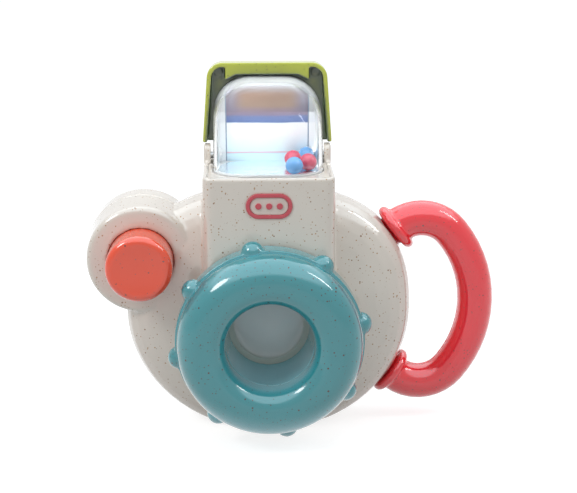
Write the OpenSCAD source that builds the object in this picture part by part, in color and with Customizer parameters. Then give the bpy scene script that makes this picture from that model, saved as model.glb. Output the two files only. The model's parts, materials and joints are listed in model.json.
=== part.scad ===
// Baby's toy camera: a pillow-shaped case with a push button, a turning lens ring,
// a fold-down flash with loose beads, and a loop handle.
// Sizes are in millimetres. +Z is up, -Y is the lens side and +X is the handle side.
// The origin is on the flat base, under the lens axis, in the plane of the case seam.

/* [Case] */
// Half the width of the case at the seam
case_half_w = 64.4; // [60:0.2:72]
// Height of the case above its widest level
case_up = 54.2; // [52:0.2:57]
// Drop of the case below its widest level, before its base is flattened
case_down = 59.2; // [57:0.2:60]
// Height of the widest level above the base
case_mid_z = 54.4; // [53:0.2:55]
// Depth of the front shell in front of the seam
case_front = 23; // [20:0.5:26]
// Depth of the rear cover behind the seam
case_rear = 16; // [14:0.5:18]
// Squareness of the upper outline seen from the front, where 2 is an ellipse
upper_power = 2.5; // [2.3:0.1:2.8]
// Squareness of the lower outline
lower_power = 2; // [2:0.1:2.4]
// Squareness of the rounded edge of both shells
edge_power = 4; // [3:0.25:5]
// Thickness of the case walls
wall = 2.5; // [2:0.1:3]

/* [Tower] */
// Half the width of the tower
tower_half_w = 28.8; // [28.4:0.1:31]
// Distance of the tower's front face from the seam
tower_front = 31; // [30:0.5:34]
// Distance of the tower's rear face from the seam
tower_rear = 18.6; // [18.2:0.2:21]
// Height of the tower's rim
tower_top = 118.5; // [116:0.5:121]
// Radius of the tower's upright edges
tower_corner = 4.5; // [3:0.5:6]
// Thickness of the tower's walls
tower_wall = 2.4; // [2:0.1:2.8]
// Height at which the tower starts inside the case
tower_foot = 66; // [64:0.5:70]
// Gap between the folded flash and the plate under it
well_gap = 0.8; // [0.6:0.1:1.2]
// Thickness of the plate under the folded flash
floor_t = 2; // [1.5:0.1:2.5]

/* [Badge] */
// Length of the badge, end to end
badge_w = 20; // [16:0.5:24]
// Height of the badge
badge_h = 11; // [9:0.5:13]
// Height of the badge's middle above the base
badge_z = 106.3; // [104:0.1:108]
// Width of the badge's border
badge_border = 1.6; // [1.2:0.1:2.2]
// Depth of the recess that holds the badge
badge_recess = 0.9; // [0.6:0.1:1.2]
// Height of the border above the tower's face
badge_proud = 0.5; // [0.3:0.1:1]
// Radius of each pip
pip_r = 1.4; // [1:0.1:1.7]
// Spacing of the pips
pip_pitch = 4.6; // [4:0.1:5]

/* [Button] */
// Distance of the button's axis from the lens axis
button_x = 56.5; // [54:0.1:60]
// Height of the button's axis above the base
button_z = 79.7; // [78:0.1:82]
// Outer radius of the button housing at the seam
housing_r = 25.3; // [24.5:0.1:27]
// Distance of the housing's front face from the seam
housing_front = 20.5; // [19:0.5:22]
// Distance of the housing's rear face from the seam
housing_rear = 15; // [12:0.5:15.5]
// Narrowing of the housing from the seam to its front edge
housing_draft = 1.3; // [0.5:0.1:2]
// Radius of the housing's rounded edges
housing_edge = 2.5; // [1.5:0.5:5]
// Radius of the button cap
button_r = 14.6; // [13:0.1:15.5]
// Height of the button's face above the housing
button_out = 16.5; // [13:0.5:18]
// Radius of the button's rounded edge
button_edge = 3; // [2:0.25:4]
// Thickness of the button's walls
button_wall = 2.2; // [1.8:0.1:2.6]
// Length of the sleeve that guides the button
guide_length = 11; // [9:0.5:12]
// Wall of that sleeve
guide_wall = 2.2; // [1.8:0.1:2.6]
// Width of the stop flange on the button
flange_w = 2.8; // [2:0.1:3.2]
// Thickness of that flange
flange_t = 2; // [1.5:0.1:2.5]
// Travel of the button
button_travel = 6.5; // [5:0.5:6.5]
// Radius of the squeaker bellows at its folds
bellows_r = 11; // [9:0.1:11.2]
// Depth of each fold of the bellows
fold_depth = 3; // [2:0.1:4]
// Number of folds
fold_count = 5; // [4:1:6]
// Distance of the bellows' rear end behind the seam
bellows_behind = 1.8; // [1.4:0.1:2.2]
// Length of the bellows
bellows_length = 24; // [20:0.5:26]
// Thickness of the bellows' skin
bellows_skin = 0.9; // [0.7:0.1:1.2]
// Outer radius of the bellows' neck
neck_r = 5; // [4:0.1:5.5]

/* [Lens ring] */
// Height of the lens axis above the base
lens_z = 48; // [47.6:0.2:50]
// Outer radius of the ring
ring_r = 40.4; // [39:0.1:42]
// Radius of the throat at the front
throat_r = 19.4; // [18.8:0.1:20.5]
// Distance of the boss behind the ring in front of the tower's face
boss_proud = 0.6; // [0.4:0.1:1]
// Depth of the front half of the ring
ring_front_depth = 13.4; // [12.5:0.1:15]
// Depth of the rear half of the ring
ring_rear_depth = 9.4; // [9:0.1:11]
// Step from the front half up to the rear half
ring_step = 0.9; // [0.5:0.1:1.4]
// Radius of the ring's outer front edge
ring_edge_out = 11; // [9:0.5:12]
// Radius of the ring's inner front edge
ring_edge_in = 7.5; // [6:0.5:8.5]
// Thickness of the ring's walls
ring_wall = 2; // [1.8:0.1:3]
// Number of nubs
nub_count = 8; // [6:1:10]
// Radius of each nub
nub_r = 5.1; // [4.5:0.1:5.8]
// Height of the nubs above the rear half of the ring
nub_out = 3.9; // [3:0.1:4.2]
// Distance of the nubs' middles behind the ring's split
nub_back = 3.8; // [3:0.1:4.2]
// Angle of the first nub
nub_turn = 10.5; // [0:0.5:45]
// Outer radius of the boss behind the ring
boss_r = 38; // [36:0.5:39]
// Outer radius of the hub that turns in the case
hub_r = 23.5; // [23:0.1:24.5]
// Distance of the hub's rear end from the seam
hub_end = 12; // [11:0.5:13]
// Wall of the sleeve that the hub turns in
bearing_wall = 3; // [2.5:0.1:3.5]
// Radius of the clear lens
lens_r = 18; // [17.5:0.1:18.2]
// Thickness of the clear lens at its rim
lens_t = 4.4; // [3.6:0.1:5]
// Width of the ledge that the lens stands against
lens_ledge = 0.9; // [0.6:0.1:1]
// Width of the lens rim
lens_rim = 2.2; // [1.8:0.1:2.6]
// Number of facets round the lens
facet_count = 6; // [5:1:8]
// Height of the facets
facet_h = 3; // [2:0.1:4]
// Outer radius of the notched retaining ring
retainer_r = 30; // [29:0.5:31]
// Thickness of the retaining ring
retainer_t = 3; // [2.5:0.1:3]
// Number of click notches
notch_count = 24; // [24:12:48]
// Radius of each notch
notch_r = 1.7; // [1.5:0.1:1.9]
// Distance of the notches' middles outside the retaining ring
notch_out = 0.3; // [0.2:0.1:0.5]
// Distance of the retainer's screws from the axis
retainer_screw_pcr = 20.9; // [20.6:0.1:21.2]
// Thickness of the click arm
click_arm_t = 1; // [0.8:0.1:1.2]
// Distance of the click arm from the retaining ring
click_clear = 1; // [0.8:0.1:1.4]
// Difference in radius between a notch and the bump in it
bump_slack = 0.4; // [0.3:0.1:0.5]
// Distance of the bump's middle above the arm
bump_rise = 0.7; // [0.5:0.1:0.8]
// Length of the click arm
click_arm_length = 26; // [24:0.5:28]

/* [Viewfinder] */
// Radius of the rear opening
eyepiece_r = 15.5; // [13:0.5:16]
// Radius of the rear window
window_r = 19; // [18.5:0.1:20]
// Thickness of the rear window
window_t = 2; // [1.5:0.1:2.5]
// Wall of the viewfinder tube
tube_wall = 1.6; // [1.2:0.1:2]
// Length of the socket that holds the tube
socket_grip = 4; // [3:0.5:6]
// Height of the raised rim round the rear opening
eyepiece_rim = 2.5; // [1.5:0.1:3.5]
// Width of the raised rim
eyepiece_rim_w = 4; // [3:0.1:5]

/* [Flash] */
// Distance of the hinge behind the seam
hinge_y = 10.5; // [10:0.1:11]
// Height of the hinge above the tower's rim
hinge_up = 2.5; // [2.2:0.1:3]
// Radius of the hinge pins
hinge_pin_r = 1.5; // [1.2:0.1:1.8]
// Thickness of the hinge ears
ear_t = 3.2; // [2.9:0.1:3.4]
// Half the depth of the hinge ears
ear_half_y = 3.5; // [3:0.1:3.6]
// Height of the ears above the hinge
ear_top = 5.4; // [5:0.1:5.6]
// Radius of the clear window, round the hinge
drum_r = 35.6; // [34:0.1:36.5]
// Half the width of the clear window
drum_half_w = 24.2; // [23:0.1:24.8]
// Radius of the window's rounded edges
drum_edge = 16.5; // [12:0.5:17]
// Thickness of the window's walls
drum_t = 1.4; // [1.2:0.1:1.8]
// Depth of the window below the hinge
drum_below = 4.6; // [4:0.1:4.8]
// Distance of the window's open back behind the hinge
drum_back = 2; // [1.8:0.1:2.2]
// Thickness of the mirror sheet
mirror_t = 0.8; // [0.5:0.1:1]
// Height of the lid's lower edge above the hinge
lid_low = 6; // [5.9:0.1:6.5]
// Height of the lid's top above the clear window
lid_over = 6.4; // [5.6:0.1:8.4]
// Half the width of the lid at its lower edge
lid_half_low = 29.2; // [28.8:0.1:30]
// Half the width of the lid at its top
lid_half_high = 26.6; // [26.4:0.1:28]
// Radius of the lid's top corners
lid_corner = 7; // [6:0.25:8]
// Thickness of the lid's walls
lid_wall = 2; // [1.6:0.1:2.4]
// Half the length of the thick lip along the lid's top
lip_half_w = 18.8; // [16:0.2:20]
// Height of that lip
lip_h = 5.4; // [4:0.1:5.8]
// Drop of the lip's chamfered ends below it
lip_drop = 2.4; // [0.5:0.1:2.6]
// Radius of the round moulding marks in the lid's corners
mark_r = 1.9; // [1.5:0.1:2.2]
// Height of those marks
mark_h = 0.4; // [0.2:0.1:0.8]
// Distance of the marks' middles from the lid's inner faces
mark_inset = 2.8; // [2.4:0.1:3.2]

/* [Beads] */
// Radius of each bead
bead_r = 3.8; // [3:0.1:4]
// Gap between the front bead and the window's curve
bead_clear = 1.4; // [1:0.1:2.9]
// Gap between the lanes of neighbouring beads
bead_gap = 0.2; // [0.1:0.1:0.9]
// Distance of the inner beads from the middle
bead_near = 11.2; // [8:0.2:12]
// Distance of the outer beads from the middle
bead_far = 17.6; // [16:0.2:18]

/* [Handle] */
// Half the distance between the two collars
handle_rise = 34.9; // [34:0.1:37]
// Distance of the tube's upper end from the case
handle_standoff = 3.5; // [3:0.1:4]
// Radius of the handle tube
tube_r = 8.1; // [7:0.1:9]
// Thickness of the handle's walls
handle_wall = 2.2; // [1.8:0.1:2.6]
// Radius of the handle's tight bends
bend_r = 18; // [16:0.5:20]
// Radius of the handle's long side
grip_r = 51; // [46:0.5:58]
// Angle at which the handle meets the case
bend_end = 129; // [126:0.5:132]
// Radius of the collars
collar_r = 11.3; // [10.5:0.1:12]
// Thickness of the collars
collar_t = 4.6; // [4:0.1:5]
// Radius of the spigots inside the collars
spigot_r = 7; // [6:0.1:7.5]
// Radius of the stop flange on each spigot
stop_r = 8.2; // [7.9:0.1:8.4]
// Distance of that stop flange from the inside of the case
stop_gap = 2.4; // [2.2:0.1:3]
// Thickness of that stop flange
stop_t = 2.2; // [1.8:0.1:2.6]

/* [Fasteners and fits] */
// Radius of the case screws
screw_r = 1.5; // [1.3:0.1:1.7]
// Radius of their heads
screw_head_r = 3; // [2.6:0.1:3.2]
// Thickness of their heads
screw_head_t = 1.8; // [1.4:0.1:2.2]
// Length of the case screws
screw_length = 14; // [12:0.5:15]
// Wall round a case screw
screw_wall = 2.4; // [2:0.1:2.8]
// Depth of plastic under a screw head
screw_seat = 4; // [3:0.5:5]
// Radius of the small inner screws
small_screw_r = 1; // [0.8:0.1:1]
// Radius of the small screws' heads
small_head_r = 1.9; // [1.6:0.1:2]
// Thickness of the small screws' heads
small_head_t = 1.4; // [1:0.1:1.4]
// Length of the small screws under their heads
small_screw_length = 7; // [6:0.5:8]
// Radial clearance of a turning or sliding fit
running_fit = 0.08; // [0.05:0.01:0.1]
// Clearance of pieces that are fixed in one another
seat_fit = 0.05; // [0.02:0.01:0.1]
// Clearance of moving faces that pass each other
free_gap = 0.5; // [0.4:0.05:0.7]

/* [Hidden] */
$fn = 96;

cream = [0.88, 0.85, 0.79];
teal = [0.36, 0.62, 0.67];
coral = [0.90, 0.36, 0.36];
orange = [0.89, 0.37, 0.28];
lime = [0.60, 0.68, 0.18];
blue = [0.25, 0.55, 0.80];
red = [0.85, 0.25, 0.33];
beige = [0.86, 0.78, 0.70];
clear = [0.85, 0.93, 0.97, 0.4];
silver = [0.80, 0.82, 0.84];
steel = [0.62, 0.63, 0.65];
white = [0.93, 0.93, 0.92];

// Points round the outline and rings from the seam to the pole of each shell
outline_steps = 72;
edge_rings = 8;
// Steps along each bend and the long side of the handle, round half of its tube and over a collar
bend_steps = 9;
grip_steps = 14;
section_steps = 14;
collar_steps = 8;
// Where a collar's round edge meets its flat faces, in degrees
collar_turn = 75;
// Length of a sharp step along the handle
step_t = 0.2;
// Length that lets a cut pass right through a face
past = 1;

// Places along the lens axis, counted forward from the seam
boss_front = tower_front + boss_proud;
ring_back = boss_front + free_gap;
ring_split = ring_back + ring_rear_depth;
lens_front = hub_end + lens_t;
retainer_back = hub_end - retainer_t;
hub_bore_r = lens_r + lens_ledge;
ring_rear_r = ring_r + ring_step;
nub_place_r = ring_rear_r + nub_out - nub_r;
nub_forward = ring_split - nub_back;
tube_front = retainer_back - small_head_t - 2 * free_gap;
tube_back = -(case_rear - wall - window_t - 2 * seat_fit);

// Button, counted forward from the seam
housing_bore_r = housing_r - housing_draft - wall;
button_front = housing_front + button_out;
guide_back = housing_front - guide_length;
flange_front = guide_back - free_gap / 2;
neck_length = housing_rear - wall - 2 * seat_fit;
bellows_back = -bellows_behind;
bellows_front = bellows_back + bellows_length;

// Hinge and flash
hinge_z = tower_top + hinge_up;
lid_rim = hinge_up - free_gap / 2;
lid_high = drum_r + lid_over;
mirror_back = drum_back + mirror_t + 2 * seat_fit;
lid_back = mirror_back + lid_wall;
well_top = hinge_z - drum_r - well_gap;
rear_foot = well_top - floor_t - 3 * wall;
ear_in = tower_half_w - ear_t;
bead_z = hinge_z - drum_below + drum_t + bead_r + seat_fit;
bead_first = drum_r - drum_t - bead_r - bead_clear;
bead_lane = 2 * bead_r + bead_gap;

// Handle: the bend's middle, the grip's middle and the angle where they meet
collar_x = root_x(1) + handle_standoff;
bend_mid_z = handle_rise - bend_r * sin(bend_end);
bend_mid_x = collar_x - bend_r * cos(bend_end);
meet_angle = asin(bend_mid_z / (grip_r - bend_r));
grip_mid_x = bend_mid_x - (grip_r - bend_r) * cos(meet_angle);

// Case screws and click arm in the front view
case_screw_insets = [31, 24, 27, 18, 17];
case_screw_sides = [1, -1, 1, -1, 1];
case_screw_heights = [14, 21, 94, 46, case_mid_z];
case_screw_places = [
  for (k = [0:len(case_screw_insets) - 1])
    [case_screw_sides[k] * (case_half_w - case_screw_insets[k]), case_screw_heights[k]]
];
bump_r = notch_r - bump_slack;
click_z = lens_z - retainer_r - click_clear - click_arm_t;
click_block = [8, 6];
click_screw_place = [-click_arm_length - click_clear, click_z + click_arm_t - click_block[1] / 2];

// Power and half height of the outline above or below the widest level
function outline_power(up) = up < 0 ? lower_power : upper_power;
function outline_height(up) = up < 0 ? case_down : case_up;
function soft(c, power) = sign(c) * pow(abs(c), 2 / power);

// Half the width of the case at the level of the upper or the lower end of the handle
function root_x(side) =
  let (power = outline_power(side))
  case_half_w * pow(1 - pow(handle_rise / outline_height(side), power), 1 / power);

// Length along the tube from its end to the case, at the upper or the lower end
function collar_reach(side) = (collar_x - root_x(side)) * sin(bend_end);

// Share of the way from the middle of the front view to the outline
function outline_share(x, z) =
  let (
    up = z - case_mid_z,
    power = outline_power(up),
    across = pow(abs(x) / case_half_w, power),
    along = pow(abs(up) / outline_height(up), power)
  )
  pow(across + along, 1 / power);

// Distance of a shell's outer skin from the seam at a point of the front view
function skin_depth(x, z, depth) = depth * pow(1 - pow(outline_share(x, z), edge_power), 1 / edge_power);

// Reach of a round boss that ends inside the wall of a shell
function boss_depth(place, r, depth) =
  skin_depth(
    place[0] + sign(place[0]) * r * cos(45),
    place[1] + sign(place[1] - case_mid_z) * r * cos(45),
    depth
  ) - wall / 3;

// Turns a piece so that its +Z points forward and its +Y up, at a point of the front view
module forward(x, z) {
  translate([x, 0, z]) rotate([90, 0, 0]) children();
}

// Round bar along the forward direction, between two distances from the seam
module bar(r, back, front) {
  translate([0, 0, back]) cylinder(r = r, h = front - back);
}

// Half of the pillow, from the seam plane to its pole, with a flat base
module half_pillow(inset, depth) {
  floor_y = inset - case_mid_z;
  rim = [
    for (ring = [0:edge_rings - 1])
      for (step = [0:outline_steps - 1])
        let (
          lean = 90 * ring / edge_rings,
          turn = 360 * step / outline_steps,
          share = pow(cos(lean), 2 / edge_power),
          power = outline_power(sin(turn)),
          height = outline_height(sin(turn)) - inset
        )
        [
          (case_half_w - inset) * share * soft(cos(turn), power),
          max(floor_y, height * share * soft(sin(turn), power)),
          (depth - inset) * pow(sin(lean), 2 / edge_power)
        ]
  ];
  pole = len(rim);
  seam = [for (step = [0:outline_steps - 1]) step];
  sides = [
    for (ring = [0:edge_rings - 2])
      for (step = [0:outline_steps - 1])
        let (
          a = ring * outline_steps + step,
          b = ring * outline_steps + (step + 1) % outline_steps
        )
        each [
          [a, a + outline_steps, b + outline_steps],
          [a, b + outline_steps, b]
        ]
  ];
  cap_start = (edge_rings - 1) * outline_steps;
  cap = [
    for (step = [0:outline_steps - 1])
      [cap_start + step, pole, cap_start + (step + 1) % outline_steps]
  ];
  polyhedron(concat(rim, [[0, 0, depth - inset]]), concat([seam], sides, cap));
}

// Plan of one end of the tower, from the seam to a rounded end
module tower_plan(half_w, depth, corner) {
  translate([-half_w, 0]) square([2 * half_w, depth - corner]);
  translate([corner - half_w, 0]) square([2 * (half_w - corner), depth]);
  for (side = [-1, 1])
    translate([side * (half_w - corner), depth - corner]) circle(corner);
}

module tower_end(depth, foot) {
  translate([0, 0, foot])
    linear_extrude(tower_top - foot) tower_plan(tower_half_w, depth, tower_corner);
}

module tower_hollow(depth, foot) {
  translate([0, 0, foot + wall])
    linear_extrude(tower_top - foot)
      translate([0, -past])
        tower_plan(tower_half_w - tower_wall, depth - tower_wall + past, tower_corner - tower_wall / 2);
}

// Round-edged disc of the button housing, from the seam to its face
module housing_end(r, depth) {
  rotate_extrude() {
    polygon([
      [0, 0],
      [housing_r, 0],
      [r, depth - housing_edge],
      [r - housing_edge, depth],
      [0, depth]
    ]);
    translate([r - housing_edge, depth - housing_edge]) circle(housing_edge);
  }
}

// Places the children at the upper or the lower end of the tube: +Z along the tube into the case
module at_collar(side) {
  mirror([0, side < 0 ? 1 : 0, 0])
    translate([collar_x, handle_rise, 0])
      rotate([0, 0, bend_end - 180])
        rotate([90, 0, 0])
          children();
}

module handle_holes() {
  forward(0, case_mid_z)
    for (side = [-1, 1])
      at_collar(side) cylinder(r = spigot_r + running_fit, h = collar_reach(side) + 4 * wall);
}

module case_screw_bosses(depth, side) {
  for (place = case_screw_places)
    forward(place[0], place[1])
      mirror([0, 0, side < 0 ? 1 : 0])
        bar(screw_r + screw_wall, 0, boss_depth(place, screw_r + screw_wall, depth));
}

module front_shell() {
  color(cream)
    difference() {
      union() {
        difference() {
          union() {
            forward(0, case_mid_z) half_pillow(0, case_front);
            mirror([0, 1, 0]) tower_end(tower_front, tower_foot);
            forward(-button_x, button_z) housing_end(housing_r - housing_draft, housing_front);
            forward(0, lens_z) bar(boss_r, 0, boss_front);
          }
          translate([0, past / 100, 0]) forward(0, case_mid_z) half_pillow(wall, case_front);
          mirror([0, 1, 0]) tower_hollow(tower_front, tower_foot);
          forward(-button_x, button_z) bar(housing_bore_r, -past, housing_front - wall);
          forward(0, lens_z) bar(boss_r - wall, -past, boss_front - wall);
        }
        forward(0, lens_z)
          bar(hub_r + running_fit + bearing_wall, hub_end + free_gap / 2, boss_front - wall / 2);
        forward(-button_x, button_z)
          bar(button_r + running_fit + guide_wall, guide_back, housing_front - wall / 2);
        case_screw_bosses(case_front, 1);
        forward(click_screw_place[0], click_screw_place[1])
          bar(
            small_screw_r + screw_wall, hub_end,
            boss_depth(click_screw_place, small_screw_r + screw_wall, case_front)
          );
        floor_ledge(-tower_front + tower_wall, 1);
      }
      forward(0, lens_z) bar(hub_r + running_fit, 0, boss_front + past);
      forward(-button_x, button_z) bar(button_r + running_fit, 0, housing_front + past);
      for (place = case_screw_places)
        forward(place[0], place[1]) bar(screw_r + seat_fit, -past, screw_length - screw_seat + past);
      forward(click_screw_place[0], click_screw_place[1])
        bar(small_screw_r + seat_fit, hub_end - past, hub_end + small_screw_length / 2 + past);
      handle_holes();
      badge_slab(
        badge_w + 2 * seat_fit, badge_h + 2 * seat_fit, tower_front - badge_recess, tower_front + past
      );
    }
}

// Rib under the plate of the flash well, on a wall of the tower
module floor_ledge(y, direction) {
  translate([-tower_half_w / 3, direction > 0 ? y - past : y - 2 * wall + past, well_top - floor_t - wall])
    cube([tower_half_w / 1.5, 2 * wall, wall - seat_fit]);
}

module hinge_ear() {
  translate([ear_in, hinge_y, 0])
    difference() {
      union() {
        translate([0, -ear_half_y, tower_top - wall])
          cube([ear_t, 2 * ear_half_y, hinge_up + ear_top - ear_half_y + wall]);
        translate([0, 0, hinge_z + ear_top - ear_half_y])
          rotate([0, 90, 0]) cylinder(r = ear_half_y, h = ear_t);
      }
      translate([-past, 0, hinge_z])
        rotate([0, 90, 0]) cylinder(r = hinge_pin_r + running_fit / 2, h = ear_t);
    }
}

module rear_cover() {
  color(cream)
    difference() {
      union() {
        difference() {
          union() {
            mirror([0, 1, 0]) forward(0, case_mid_z) half_pillow(0, case_rear);
            tower_end(tower_rear, rear_foot);
            mirror([0, 1, 0]) forward(-button_x, button_z) housing_end(housing_r, housing_rear);
            forward(0, lens_z) eyepiece_surround();
          }
          translate([0, -past / 100, 0])
            mirror([0, 1, 0]) forward(0, case_mid_z) half_pillow(wall, case_rear);
          tower_hollow(tower_rear, rear_foot);
          forward(-button_x, button_z) bar(housing_bore_r, wall - housing_rear, past);
        }
        case_screw_bosses(case_rear, -1);
        forward(0, lens_z) tube_socket();
        forward(-button_x, button_z)
          bar(neck_r + seat_fit + guide_wall, wall / 2 - housing_rear, bellows_back - seat_fit);
        forward(-button_x, button_z) button_stop();
        for (side = [0, 1])
          mirror([side, 0, 0]) hinge_ear();
        floor_ledge(tower_rear - tower_wall, -1);
      }
      forward(0, lens_z) {
        bar(eyepiece_r, -case_rear - 2 * eyepiece_rim, past);
        bar(window_r + 2 * running_fit, wall - case_rear, tube_back + socket_grip + past);
      }
      forward(-button_x, button_z) {
        bar(neck_r + seat_fit, wall - housing_rear, past);
        sound_holes();
      }
      for (place = case_screw_places)
        forward(place[0], place[1]) {
          bar(screw_r + 2 * running_fit, -case_rear - past, past);
          bar(screw_head_r + 2 * running_fit, -case_rear - past, -screw_seat);
        }
      handle_holes();
    }
}

// Ring that the button's flange lands on at the end of its travel
module button_stop() {
  stop_front = flange_front - flange_t - button_travel;
  difference() {
    bar(button_r + flange_w, wall / 2 - housing_rear, stop_front);
    bar(button_r + flange_w - guide_wall, -housing_rear, stop_front + past);
  }
}

module sound_holes() {
  for (turn = [0:60:300])
    rotate([0, 0, turn])
      translate([neck_r / 2, 0, 0]) bar(neck_r / 8, -housing_rear - past, 0);
}

// Raised rim round the rear opening
module eyepiece_surround() {
  rim_end = case_rear + eyepiece_rim - eyepiece_rim_w / 2;
  mirror([0, 0, 1])
    rotate_extrude()
      translate([eyepiece_r, 0]) {
        square([eyepiece_rim_w, rim_end]);
        translate([eyepiece_rim_w / 2, rim_end]) circle(eyepiece_rim_w / 2);
      }
}

// Socket on the rear cover that centres the rear window and the viewfinder tube
module tube_socket() {
  bar(window_r + 2 * running_fit + wall, wall / 2 - case_rear, tube_back + socket_grip);
}

module well_floor() {
  color(cream)
    translate([0, 0, well_top - floor_t])
      linear_extrude(floor_t) {
        tower_plan(
          tower_half_w - tower_wall - free_gap / 2,
          tower_rear - tower_wall - free_gap / 2,
          tower_corner - tower_wall / 2
        );
        mirror([0, 1])
          tower_plan(
            tower_half_w - tower_wall - free_gap / 2,
            tower_front - tower_wall - free_gap / 2,
            tower_corner - tower_wall / 2
          );
      }
}

// Round-ended slab on the tower's front, between two distances from the seam
module badge_slab(w, h, back, front) {
  forward(0, badge_z)
    translate([0, 0, back])
      linear_extrude(front - back) {
        square([w - h, h], center = true);
        for (side = [-1, 1])
          translate([side * (w - h) / 2, 0]) circle(h / 2);
      }
}

module badge_plate() {
  inner_w = badge_w - 2 * badge_border - 2 * seat_fit;
  inner_h = badge_h - 2 * badge_border - 2 * seat_fit;
  color(beige) badge_slab(inner_w, inner_h, tower_front - badge_recess, tower_front);
}

module badge_rim() {
  inner_w = badge_w - 2 * badge_border;
  inner_h = badge_h - 2 * badge_border;
  color(red)
    difference() {
      badge_slab(badge_w, badge_h, tower_front - badge_recess, tower_front + badge_proud);
      badge_slab(inner_w, inner_h, tower_front - badge_recess - past, tower_front + badge_proud + past);
    }
}

module badge_pips() {
  color(red)
    for (place = [-1, 0, 1])
      forward(place * pip_pitch, badge_z) bar(pip_r, tower_front, tower_front + badge_proud);
}

module button_cap() {
  inner_r = button_r - button_wall;
  cap_back = flange_front - flange_t;
  color(orange)
    forward(-button_x, button_z) {
      difference() {
        rotate_extrude() {
          translate([0, cap_back]) square([button_r, button_front - button_edge - cap_back]);
          translate([0, cap_back]) square([button_r + flange_w, flange_t]);
          translate([0, cap_back]) square([button_r - button_edge, button_front - cap_back]);
          translate([button_r - button_edge, button_front - button_edge])
            intersection() {
              circle(button_edge);
              square(button_edge);
            }
        }
        bar(inner_r, cap_back - past, button_front - button_wall);
      }
      bar(neck_r, bellows_front + seat_fit, button_front - button_wall / 2);
    }
}

module squeaker_bellows() {
  fold_pitch = (bellows_length - 2 * bellows_skin) / fold_count;
  low_r = bellows_r - fold_depth;
  folds = [
    for (k = [0:2 * fold_count])
      [k % 2 == 0 ? low_r : bellows_r, bellows_skin + k * fold_pitch / 2]
  ];
  inside = [
    for (k = [2 * fold_count:-1:0])
      [folds[k][0] - bellows_skin, folds[k][1]]
  ];
  color(white)
    forward(-button_x, button_z)
      translate([0, 0, bellows_back])
        rotate_extrude() {
          polygon(concat(folds, inside));
          translate([0, bellows_length - bellows_skin]) square([low_r, bellows_skin]);
          translate([neck_r - bellows_skin, 0]) square([low_r - neck_r + bellows_skin, bellows_skin]);
          translate([neck_r - bellows_skin, -neck_length - bellows_back])
            square([bellows_skin, neck_length + bellows_back]);
        }
}

module squeaker_reed() {
  reed_r = neck_r - bellows_skin - seat_fit;
  slot = [reed_r / 2, 1.4 * reed_r, neck_length / 2 + past];
  color(white)
    forward(-button_x, button_z)
      difference() {
        bar(reed_r, -neck_length, bellows_skin);
        bar(reed_r / 3, -neck_length - past, 0);
        translate([-slot[0] / 2, -slot[1] / 2, -neck_length - past]) cube(slot);
      }
}

// Half section of a ring with two rounded front edges, standing on its back
module bun_section(r_in, r_out, depth, edge_in, edge_out) {
  difference() {
    translate([r_in, 0]) square([r_out - r_in, depth]);
    translate([r_out - edge_out, depth - edge_out])
      difference() {
        square(edge_out + past);
        circle(edge_out);
      }
    translate([r_in + edge_in, depth - edge_in])
      difference() {
        translate([-edge_in - past, 0]) square(edge_in + past);
        circle(edge_in);
      }
  }
}

module lens_ring_front() {
  color(teal)
    forward(0, lens_z)
      difference() {
        translate([0, 0, ring_split])
          rotate_extrude()
            difference() {
              bun_section(throat_r, ring_r, ring_front_depth, ring_edge_in, ring_edge_out);
              translate([0, -past])
                bun_section(
                  throat_r + ring_wall, ring_r - ring_wall, ring_front_depth - ring_wall + past,
                  ring_edge_in - ring_wall, ring_edge_out - ring_wall
                );
            }
        nubs(nub_r + seat_fit);
      }
}

// Round nubs on the ring's rear half, which reach a little into the front half's rim
module nubs(r) {
  for (k = [0:nub_count - 1])
    rotate([0, 0, nub_turn + k * 360 / nub_count])
      translate([nub_place_r, 0, nub_forward]) sphere(r);
}

module lens_ring_rear() {
  color(teal)
    forward(0, lens_z)
      difference() {
        union() {
          bar(ring_rear_r, ring_back, ring_split);
          bar(hub_r, hub_end, ring_back + ring_wall);
          nubs(nub_r);
        }
        rotate_extrude()
          translate([throat_r + ring_wall, ring_back + ring_wall])
            square([ring_rear_r - throat_r - 2 * ring_wall, ring_rear_depth]);
        translate([0, 0, lens_front - past])
          cylinder(r1 = lens_r, r2 = throat_r, h = ring_split - lens_front + past);
        bar(throat_r, ring_split - seat_fit, ring_split + past);
        bar(hub_bore_r, hub_end - past, lens_front);
        retainer_screw_places() bar(small_screw_r + seat_fit, hub_end - past, hub_end + small_screw_length);
      }
}

module retainer_screw_places() {
  for (turn = [90, 210, 330])
    rotate([0, 0, turn]) translate([retainer_screw_pcr, 0, 0]) children();
}

module prism_lens() {
  rim_in = lens_r - lens_rim;
  color(clear)
    forward(0, lens_z) {
      bar(hub_bore_r - seat_fit, hub_end + seat_fit, lens_front - lens_t / 2);
      difference() {
        bar(hub_bore_r - seat_fit, lens_front - lens_t / 2, lens_front - seat_fit);
        bar(rim_in, hub_end, lens_front + past);
      }
      translate([0, 0, lens_front - lens_t / 2])
        cylinder(r1 = rim_in - free_gap, r2 = rim_in / 3, h = facet_h, $fn = facet_count);
    }
}

module lens_retainer() {
  color(white)
    forward(0, lens_z)
      difference() {
        bar(retainer_r, retainer_back, hub_end);
        bar(lens_r - lens_rim, retainer_back - past, hub_end + past);
        for (k = [0:notch_count - 1])
          rotate([0, 0, k * 360 / notch_count])
            translate([retainer_r + notch_out, 0, 0]) bar(notch_r, retainer_back - past, hub_end + past);
        retainer_screw_places() bar(small_screw_r + running_fit, retainer_back - past, hub_end + past);
      }
}

// Small screw with its head's underside at a distance from the seam
module small_screw(head_at, length) {
  bar(small_head_r, head_at - small_head_t, head_at);
  bar(small_screw_r, head_at, head_at + length);
}

module retainer_screws() {
  color(steel)
    forward(0, lens_z)
      retainer_screw_places() small_screw(retainer_back, small_screw_length + retainer_t - past);
}

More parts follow.
